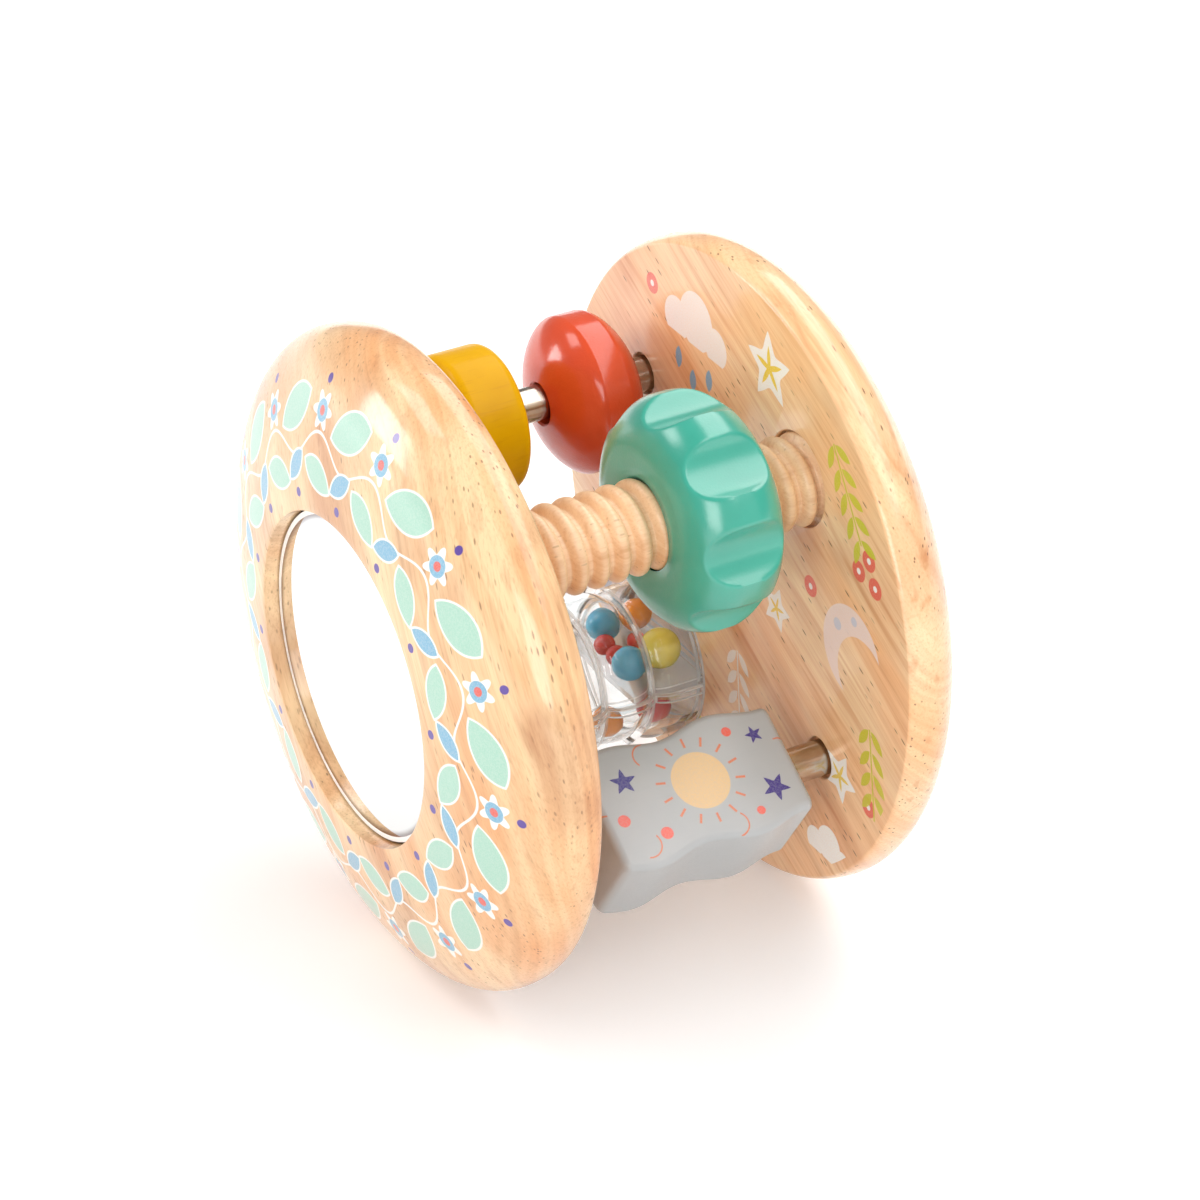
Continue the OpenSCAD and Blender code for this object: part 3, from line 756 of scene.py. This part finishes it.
def clear_finish():
    """Clear moulded plastic with faint flow marks, and painted highlights: less clear and so paler along the seam
    and the waists, where bright edge reflections fall.
    """
    finish = Finish("clear_plastic", IOR=1.07, Coat_Weight=1.0, Coat_Roughness=0.02)
    x, y, z = finish.place
    flow = finish.noise(finish.vector(x * 0.12, y * 0.3, z * 0.3), 2.0)
    finish.colour(finish.mix(flow, srgb(255, 255, 255), srgb(247, 251, 252)))
    finish.relief(flow, 0.05, 0.0004)
    finish.rough(flow.ramp(0.3, 0.7, 0.005, 0.03))
    # Painted highlight: the plastic turns milky white along the seam lip and round the waists, in place of the
    # bright reflections there.
    seam_painted_highlight = ((z - CAPSULE_BAR.z / MM).abs() - SEAM[1] / MM).abs().ramp(0.28, 0.12)
    pitch = 2 * FACE / MM / LOBES
    waist = (((x / pitch + 0.5).frac() - 0.5) * pitch).abs().ramp(0.5, 0.2)
    clear = 0.99 - seam_painted_highlight.max(waist) * (flow * 0.5 + 0.3)
    finish.tree.links.new(clear.socket, finish.shader.inputs["Transmission Weight"])
    return finish.material


def shelf_finish():
    """The same plastic a little milky, with fine moulding texture."""
    finish = Finish("milky_plastic", Transmission_Weight=0.72, IOR=1.02,
                    Coat_Weight=0.6, Coat_Roughness=0.05)
    x, y, z = finish.place
    skin = finish.noise(finish.vector(x * 0.8, y * 0.8, z * 0.8), 2.0)
    finish.colour(finish.mix(skin, srgb(255, 255, 255), srgb(244, 247, 248)))
    finish.rough(skin.ramp(0.3, 0.7, 0.12, 0.22))
    return finish.material


def ball_finish(name, colour, shade):
    """Glossy moulded plastic with a faint swirl and tiny specks."""
    finish = Finish(name)
    x, y, z = finish.place
    swirl = finish.noise(finish.vector(x * 0.35, y * 0.35, z * 0.35), 2.0, 0.5, 1.2).ramp(0.35, 0.7)
    fleck, chance = finish.cells(finish.vector(x * 0.8, y * 0.8, z * 0.8))
    speck = fleck.ramp(0.06, 0.12, 1.0, 0.0) * chance.ramp(0.8, 0.84)
    hue = finish.mix(swirl * 0.4, colour, shade)
    finish.colour(finish.mix(speck * 0.5, hue, shade))
    finish.relief(swirl + speck, 0.04, 0.0003)
    finish.rough(swirl.ramp(0.0, 1.0, 0.12, 0.22))
    return finish.material


def foam_finish():
    finish = Finish("adhesive_foam")
    x, y, z = finish.place
    gap, chance = finish.cells(finish.vector(x * 1.6, y * 1.6, z * 1.6))
    finish.colour(finish.mix(gap.ramp(0.2, 0.7), srgb(214, 212, 206), srgb(238, 238, 234)))
    finish.relief(gap, 0.3, 0.0003)
    finish.rough(chance.ramp(0.0, 1.0, 0.8, 0.95))
    return finish.material


def block_finish():
    finish = paint_finish("pale_grey_paint", srgb(178, 180, 181), srgb(164, 168, 170), 0.12, 0.4,
                          Coat_Weight=0.12, Coat_Roughness=0.2)
    x, y, z = finish.place
    dy, dz = y - BLOCK_BAR.y / MM, z - BLOCK_BAR.z / MM
    c, s = math.cos(BLOCK_TURN), math.sin(BLOCK_TURN)
    across, height = dy * c + dz * s, dz * c - dy * s
    inside = (height - (BLOCK_SIZE[2] / 2 / MM - 0.6)).op("GREATER_THAN", 0.0)
    under = finish.shader.inputs["Base Color"].links[0].from_socket
    finish.colour(block_print(finish, under, x - 1.1, across + BLOCK_OFFSET / MM, inside).hue)
    return finish.material


# Discs

def dome(radius):
    share = max(0.0, radius - CROWN) / (DISC_R - CROWN)
    return RIM_HEIGHT + (DISC_THICK - RIM_HEIGHT) * math.sqrt(max(0.0, 1 - share * share))


def rim_points(steps):
    """The rounded inner edge, from the inner face out to the widest line."""
    quarter = np.radians(np.linspace(0, 90, steps + 1))
    return [(RIM_HEIGHT * (1 - math.cos(t)), DISC_R - RIM_INSET + RIM_INSET * math.sin(t)) for t in quarter]


def dome_points(last, steps):
    """The domed outer face, from the widest line in to a radius."""
    share = np.linspace(0, 1, steps + 1)[1:]
    end = math.acos(max(0.0, (last - CROWN) / (DISC_R - CROWN)))
    return [(RIM_HEIGHT + (DISC_THICK - RIM_HEIGHT) * math.sin(t),
             CROWN + (DISC_R - CROWN) * math.cos(t)) for t in share * end]


def socket_tool(radius, depth, mouth=None, mouth_depth=0.0):
    """Stepped cutter for a blind socket with a broken edge, from the inner face."""
    wide = mouth or radius
    section = [(-MM, 0), (-MM, wide + SOCKET_BREAK), (0, wide + SOCKET_BREAK), (SOCKET_BREAK, wide)]
    if mouth:
        section += [(mouth_depth, wide), (mouth_depth, radius)]
    return section + [(depth, radius), (depth, 0)]


def disc(name, section, side):
    """A turned disc with its sockets; side is 1 for the plain disc and -1 for the mirror disc."""
    body = turned(name, [(side * (FACE + h), r) for h, r in section], AXLE, 256)
    tools = []
    for bar, tool in ((BEAD_BAR, socket_tool(*BEAD_SOCKET)), (BLOCK_BAR, socket_tool(*BLOCK_SOCKET)),
                      (SCREW_BAR, socket_tool(*SCREW_SOCKET)), (CAPSULE_BAR, socket_tool(*CAPSULE_SEAT))):
        tools.append(turned("tool", [(side * (FACE + h), r) for h, r in tool], (0, bar.y, bar.z), 96))
    return cut(body, joined("tools", tools))


plain_section = [(0, 0), *rim_points(14), *dome_points(CROWN, 56), (DISC_THICK, 0)]
edge = dome(OPENING)
mirror_section = [(0, 0), *rim_points(14), *dome_points(OPENING + OPENING_ROUND, 56)]
mirror_section += [(edge - OPENING_ROUND * 0.35, OPENING + OPENING_ROUND * 0.08),
                   (edge - OPENING_ROUND, OPENING), (edge - RECESS, OPENING), (edge - RECESS, 0)]
piece("plain_disc_wood", disc("plain_disc", plain_section, 1),
      disc_finish("printed_disc_wood", 1.0, PLAIN_DISC_WOOD_PAINTED_LIGHT, 64.0, face_print),
      "frame", "natural_wood", "right_disc")
piece("mirror_disc_wood", disc("mirror_disc", mirror_section, -1),
      disc_finish("garland_disc_wood", 3.0, MIRROR_DISC_WOOD_PAINTED_SHADE, 31.0, ring_print,
                  pores=0.6, streaks=0.6, dense=0.0),
      "frame", "natural_wood", "left_disc")

low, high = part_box("mirror")
glass_r = (high.z - low.z) / 2
section = [(low.x, 0), (low.x, glass_r - MIRROR_EDGE), (low.x + MIRROR_EDGE, glass_r),
           (high.x, glass_r), (high.x, 0)]
piece("mirror_sheet", turned("mirror_sheet", section, AXLE, 256), mirror_finish(glass_r),
      "frame", "mirror_acrylic", "mirror")

# Screw and nut

screw_wood = screw_finish()
screw_sizes = {**THREAD, "Shoulder": SCREW_SHOULDER, "Tenon radius": TENON[0],
               "Tenon length": TENON[1], "Cap": MM}
empty = bpy.data.meshes.new("empty")
screw_mesh = shaped(screw_tree(540, 96), empty, screw_sizes, screw_wood)
screw_mesh.transform(Matrix.Translation((0, SCREW_BAR.y, SCREW_BAR.z)))
piece("threaded_screw", screw_mesh, screw_wood, "frame", "screw_wood", "screw", crease=60)

low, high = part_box("nut")
bore_r = THREAD["Top"] + THREAD_GAP
section = [(low.x, bore_r + 0.2 * MM), (low.x, (bore_r + NUT_R - NUT_EDGE) / 2)]
section += arc((low.x + NUT_EDGE, NUT_R - NUT_EDGE), NUT_EDGE, 180, 90, 34)
section += arc((high.x - NUT_EDGE, NUT_R - NUT_EDGE), NUT_EDGE, 90, 0, 34)
seat_r, seat_x = GUIDE_SEAT[0], high.x - GUIDE_SEAT[1]
section += [(high.x, seat_r), (seat_x, seat_r), (seat_x, bore_r)]
section += [(x, bore_r) for x in np.linspace(seat_x, low.x + 0.2 * MM, 60)[1:]]
mint = paint_finish("mint_paint", srgb(54, 166, 144), srgb(40, 148, 126), 0.0, 0.8, (0.28, 0.4),
                    Specular_IOR_Level=0.2, Coat_Weight=1.0, Coat_Roughness=0.24, Coat_IOR=1.65).material
grown = {**THREAD, "Top": THREAD["Top"] + THREAD_GAP, "Reach": THREAD["Reach"] + THREAD_GAP}
nut_mesh = shaped(nut_tree(), turned("nut", section, steps=320, closed=True),
                  {**HOLLOW, **grown, "Bore limit": bore_r + 0.1 * MM}, mint)
nut_mesh.transform(Matrix.Translation((0, SCREW_BAR.y, SCREW_BAR.z)))
piece("fluted_nut", nut_mesh, mint, "nut", "mint_paint", "nut", crease=50)

# Rods and beads

steel = steel_finish()
for name, node, body, bar in (("bead_axle", "bead_rod", "bead_rod", BEAD_BAR),
                              ("block_axle", "block_rod", "block_rod", BLOCK_BAR)):
    low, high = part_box(node)
    r = (high.z - low.z) / 2
    section = [(low.x, 0), (low.x, r - ROD_EDGE), (low.x + ROD_EDGE, r),
               (high.x - ROD_EDGE, r), (high.x, r - ROD_EDGE), (high.x, 0)]
    piece(name, turned(name, section, (0, bar.y, bar.z), 96), steel, body, "rod_steel", node)


def bead(name, profile, place):
    """Turned bead from half its profile of (along, radius), bored through with a broken edge."""
    outer = [(x, r) for x, r in profile if r > BORE + BEAD_EDGE]
    end = max(x for x, r in profile if r > BORE)
    outer.append((end, BORE + BEAD_EDGE))
    outer.append((end - BEAD_EDGE, BORE))
    half_down = [(-x, r) for x, r in outer][::-1]
    section = half_down + outer[0 if outer[0][0] > 0 else 1:]
    return turned(name, [(place.x + x, r) for x, r in section], (0, place.y, place.z), 160, closed=True)


low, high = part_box("red_bead")
r = (high.z - low.z) / 2
profile = [(0.0, r)] + [(RED_BAND + (RED_HALF - RED_BAND) * math.sin(t) ** (4 / 3), r * math.cos(t))
                        for t in np.radians(np.linspace(0, 89.5, 60))]
piece("red_slider", bead("red_slider", profile, (low + high) / 2),
      paint_finish("red_paint", srgb(218, 78, 38), srgb(194, 60, 28), 0.05, 1.6, (0.3, 0.4),
                   Specular_IOR_Level=0.1, Coat_Weight=0.7, Coat_Roughness=0.15,
                   Coat_IOR=1.6).material,
      "red_bead", "red_paint", "red_bead")

low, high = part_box("yellow_bead")
r = (high.z - low.z) / 2
shoulder = YELLOW_BAND + YELLOW_EDGE * math.sin(YELLOW_ROUND)
rim = r - YELLOW_EDGE * (1 - math.cos(YELLOW_ROUND))
profile = [(0.0, r)] + [(YELLOW_BAND + YELLOW_EDGE * math.sin(t), r - YELLOW_EDGE * (1 - math.cos(t)))
                        for t in np.linspace(0, YELLOW_ROUND, 13)]
profile += [(shoulder + (YELLOW_HALF - shoulder) * (1 - (1 - t) ** 2), rim * (1 - t))
            for t in np.linspace(0, 1, 60)[1:]]
piece("yellow_slider", bead("yellow_slider", profile, (low + high) / 2),
      paint_finish("yellow_paint", srgb(230, 174, 0), srgb(206, 144, 0), 0.3, 0.4, (0.3, 0.4),
                   Specular_IOR_Level=0.1, Coat_Weight=0.06, Coat_Roughness=0.08).material,
      "yellow_bead", "yellow_paint", "yellow_bead")

# Block

length, width, thick = BLOCK_SIZE
places = length / 2 * np.sin(np.linspace(-90, 90, 121) * math.pi / 180)
places = 0.45 * places + 0.55 * np.linspace(-length / 2, length / 2, 121)
rows = []
for x in places:
    near = max(0.0, BLOCK_ROUND - (length / 2 - abs(x)))
    inset = BLOCK_ROUND - math.sqrt(max(0.0, BLOCK_ROUND ** 2 - near ** 2))
    w, t = width / 2 - inset, thick / 2 - inset
    ring = []
    for cy, cz, start in ((1, 1, 0), (-1, 1, 90), (-1, -1, 180), (1, -1, 270)):
        ring += arc((cy * (w - BLOCK_ROUND), cz * (t - BLOCK_ROUND)), BLOCK_ROUND, start, start + 90, 10)
    rows.append([(x, y, z) for y, z in ring])
ends = [[(row[0][0], 0, 0)] * len(row) for row in (rows[0], rows[-1])]
bar_mesh = grid_mesh("block", [ends[0], *rows, ends[1]])
grey = block_finish()
block_mesh = shaped(wave_tree(), bar_mesh, WAVE, grey)
block_mesh.transform(Matrix.Translation((0, -BLOCK_OFFSET, 0)))
section = [(-length, 0), (-length, BLOCK_BORE), (length, BLOCK_BORE), (length, 0)]
block_mesh = cut(block_mesh, turned("bore", section, steps=96))
low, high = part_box("block")
block_mesh.transform(Matrix.Translation(((low.x + high.x) / 2, BLOCK_BAR.y, BLOCK_BAR.z))
                     @ Matrix.Rotation(BLOCK_TURN, 4, "X"))
piece("wavy_block", block_mesh, grey, "block", "pale_grey_paint", "block")

# Capsule

PITCH = 2 * FACE / LOBES


def lobe_radius(x):
    """Rounded lobes between narrow waists, straight into the seats."""
    if abs(x) >= FACE - PITCH / 2:
        return LOBE
    part = (x + FACE) / PITCH
    g = abs(2 * (part - math.floor(part)) - 1)
    return WAIST + (LOBE - WAIST) * (1 - g ** 3)


def capsule_places(low, high):
    reach = FACE - PITCH / 2
    inner = [x for x in np.linspace(-reach, reach, 16 * (LOBES - 1) + 1) if low + 1e-5 < x < high - 1e-5]
    return [low, *inner, high]


def capsule_solid(low, high, inset, steps):
    section = [(low, 0)] + [(x, lobe_radius(x) - inset) for x in capsule_places(low, high)] + [(high, 0)]
    return turned("capsule", section, steps=steps)


def capsule_outline(low, high, grow):
    xs = capsule_places(low, high)
    return [(x, lobe_radius(x) + grow) for x in xs] + [(x, -lobe_radius(x) - grow) for x in reversed(xs)]


def capsule_shell():
    """Half of the clear capsule with its seam lip, opening downwards."""
    room = 0.1
    outer = capsule_solid(-CAPSULE_HALF, CAPSULE_HALF, 0.0, 144)
    upper = slab("upper", [(-room, -room), (room, -room), (room, room), (-room, room)], SEAM_GAP, room)
    shell = cut(outer, upper, "INTERSECT")
    lip = FACE - SEAM[0]
    shell = cut(shell, slab("lip", capsule_outline(-lip, lip, SEAM[0]), SEAM_GAP, SEAM[1]), "UNION")
    end = CAPSULE_HALF - CAPSULE_WALL
    return cut(shell, capsule_solid(-end, end, CAPSULE_WALL, 144))


clear = clear_finish()
to_capsule = Matrix.Translation((0, CAPSULE_BAR.y, CAPSULE_BAR.z))
upper_mesh = capsule_shell()
lower_mesh = upper_mesh.copy()
lower_mesh.transform(Matrix.Rotation(math.pi, 4, "X"))
for name, mesh, node in (("capsule_top_shell", upper_mesh, "capsule_upper_shell"),
                         ("capsule_bottom_shell", lower_mesh, "capsule_lower_shell")):
    mesh.transform(to_capsule)
    piece(name, mesh, clear, "capsule", "clear_plastic", node, crease=40)
low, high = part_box("capsule_shelf")
shelf = slab("shelf", capsule_outline(low.x, high.x, -CAPSULE_WALL - 0.15 * MM),
             low.z - CAPSULE_BAR.z, high.z - CAPSULE_BAR.z)
shelf.transform(to_capsule)
piece("capsule_floor", shelf, shelf_finish(), "capsule", "clear_plastic", "capsule_shelf")

ball_finishes = {
    "ball_yellow_plastic": ball_finish("ball_yellow_plastic", srgb(252, 232, 96), srgb(240, 212, 66)),
    "ball_blue_plastic": ball_finish("ball_blue_plastic", srgb(76, 188, 226), srgb(46, 158, 206)),
    "ball_orange_plastic": ball_finish("ball_orange_plastic", srgb(252, 156, 48), srgb(238, 128, 30)),
    "ball_red_plastic": ball_finish("ball_red_plastic", srgb(214, 48, 44), srgb(184, 30, 32)),
}
slots = {s["node"]: s["material_slot"] for s in frame["record"]["subparts"]}
bodies = frame["record"]["behaviour"]["bodies"]
for body in ("balls_upper", "balls_lower"):
    for count, node in enumerate(bodies[body]):
        low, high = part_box(node)
        r = (high.x - low.x) / 2
        section = []
        for t in np.radians(np.linspace(-90, 90, 41)):
            sunk = MOULD_MARK * (1 - math.exp(-(t / 0.05) ** 2)) * (abs(t) < 1.5)
            section.append((r * math.sin(t), r * math.cos(t) - sunk))
        mesh = turned(node, section, steps=64)
        mesh.transform(Matrix.Translation((low + high) / 2) @ Matrix.Rotation(0.7 + 1.3 * count, 4, "Z")
                       @ Matrix.Rotation(0.4 + 0.9 * count, 4, "Y"))
        piece("rattle_" + node, mesh, ball_finishes[slots[node]], body, slots[node], node)

# Solids that show as they are

for node, material in (("nut_guide_ring", screw_wood), ("mirror_adhesive", foam_finish())):
    data = frame["nodes"][node].data
    data.materials.clear()
    data.materials.append(material)

# Camera, floor and light

scene = bpy.context.scene
scene.view_settings.view_transform = "Standard"
YAW, PITCH_DOWN, ROLL = -0.516627, 0.554856, -0.002980
FOCAL = 133.26
AIM_RIGHT, AIM_UP, DISTANCE = 2.7162 * MM, 1.2181 * MM, 786.276 * MM
right = Vector((math.cos(YAW), math.sin(YAW), 0))
level = math.cos(PITCH_DOWN)
back = Vector((math.sin(YAW) * level, -math.cos(YAW) * level, math.sin(PITCH_DOWN)))
up = back.cross(right)
right, up = (math.cos(ROLL) * right + math.sin(ROLL) * up, math.cos(ROLL) * up - math.sin(ROLL) * right)
lens = bpy.data.cameras.new("camera")
lens.sensor_width = 36.0
lens.lens = FOCAL
lens.clip_start, lens.clip_end = 0.05, 20.0
camera = bpy.data.objects.new("camera", lens)
axes = Matrix((right, up, back)).transposed().to_4x4()
eye = AXLE + AIM_RIGHT * right + AIM_UP * up + DISTANCE * back
camera.matrix_world = Matrix.Translation(eye) @ axes
scene.collection.objects.link(camera)
scene.camera = camera

floor_mesh = bpy.data.meshes.new("floor")
span = 3.0
corners = [(-span, -span, 0), (span, -span, 0), (span, span, 0), (-span, span, 0)]
floor_mesh.from_pydata(corners, [], [(0, 1, 2, 3)])
floor = shown("floor", floor_mesh)
floor.location.z = -0.0001


def ray_kind(tree, *names):
    """1 for rays of the named kinds, else 0."""
    path = tree.nodes.new("ShaderNodeLightPath")
    share = Num(tree, path.outputs[names[0]])
    for name in names[1:]:
        share = share.max(Num(tree, path.outputs[name]))
    return share


# White paper to the eye and in reflections, a little darker as a bounce, plain white far away
FLOOR_GLOW = 0.16
paper = Finish("white_paper", Roughness=0.9)
x, y, z = paper.place
tooth = paper.noise(paper.vector(x * 0.02, y * 0.02, z * 0.02), 2.0)
sheet = paper.mix(tooth, srgb(247, 247, 248), srgb(250, 250, 250))
seen = ray_kind(paper.tree, "Is Camera Ray", "Is Glossy Ray", "Is Transmission Ray")
paper.colour(paper.mix(seen, srgb(228, 226, 224), sheet))
paper.shader.inputs["Specular IOR Level"].default_value = 0.1
paper.shader.inputs["Emission Color"].default_value = (1, 1, 1, 1)
far = hypot(x, y).ramp(300.0, 900.0, FLOOR_GLOW, 1.0)
paper.tree.links.new((seen * far).socket, paper.shader.inputs["Emission Strength"])
floor_mesh.materials.append(paper.material)

# Plain white to the eye and through clear plastic, a dimmer room as light and in reflections
AMBIENT, ZENITH, MIRRORED = 0.33, 0.2, 0.3
world = bpy.data.worlds.new("studio")
scene.world = world
world.use_nodes = True
sky = world.node_tree.nodes["Background"]
sky.inputs["Color"].default_value = (1.0, 0.995, 0.985, 1.0)
heading = world.node_tree.nodes.new("ShaderNodeTexCoord")
shade = parts_of(world.node_tree, heading.outputs["Generated"])[2].max(0.0) * ZENITH + AMBIENT
clear_path = ray_kind(world.node_tree, "Is Camera Ray", "Is Transmission Ray")
strength = shade + (1.0 - shade) * clear_path
mirrored = ray_kind(world.node_tree, "Is Glossy Ray")
strength = strength + (MIRRORED - strength) * mirrored * (1.0 - clear_path)
world.node_tree.links.new(strength.socket, sky.inputs["Strength"])


LIT_POINT = Vector((0, 0, 0.06))


def softbox(name, place, size, watts):
    """Area lamp that faces the toy."""
    lamp = bpy.data.lights.new(name, "AREA")
    lamp.shape = "RECTANGLE"
    lamp.size, lamp.size_y = size
    lamp.energy = watts
    thing = bpy.data.objects.new(name, lamp)
    thing.location = place
    thing.rotation_euler = (LIT_POINT - Vector(place)).to_track_quat("-Z", "Y").to_euler()
    scene.collection.objects.link(thing)


softbox("key", (-0.74, -0.84, 0.45), (0.6, 0.6), 5.8)
softbox("ceiling", (0.50, -0.10, 0.97), (2.2, 0.45), 11.0)
softbox("window", (-0.56, 0.52, 0.88), (0.4, 0.4), 2.6)
softbox("side", (-0.81, 0.72, 0.27), (0.3, 0.3), 2.8)
softbox("fill", (0.25, -1.10, 0.32), (1.2, 1.2), 2.0)
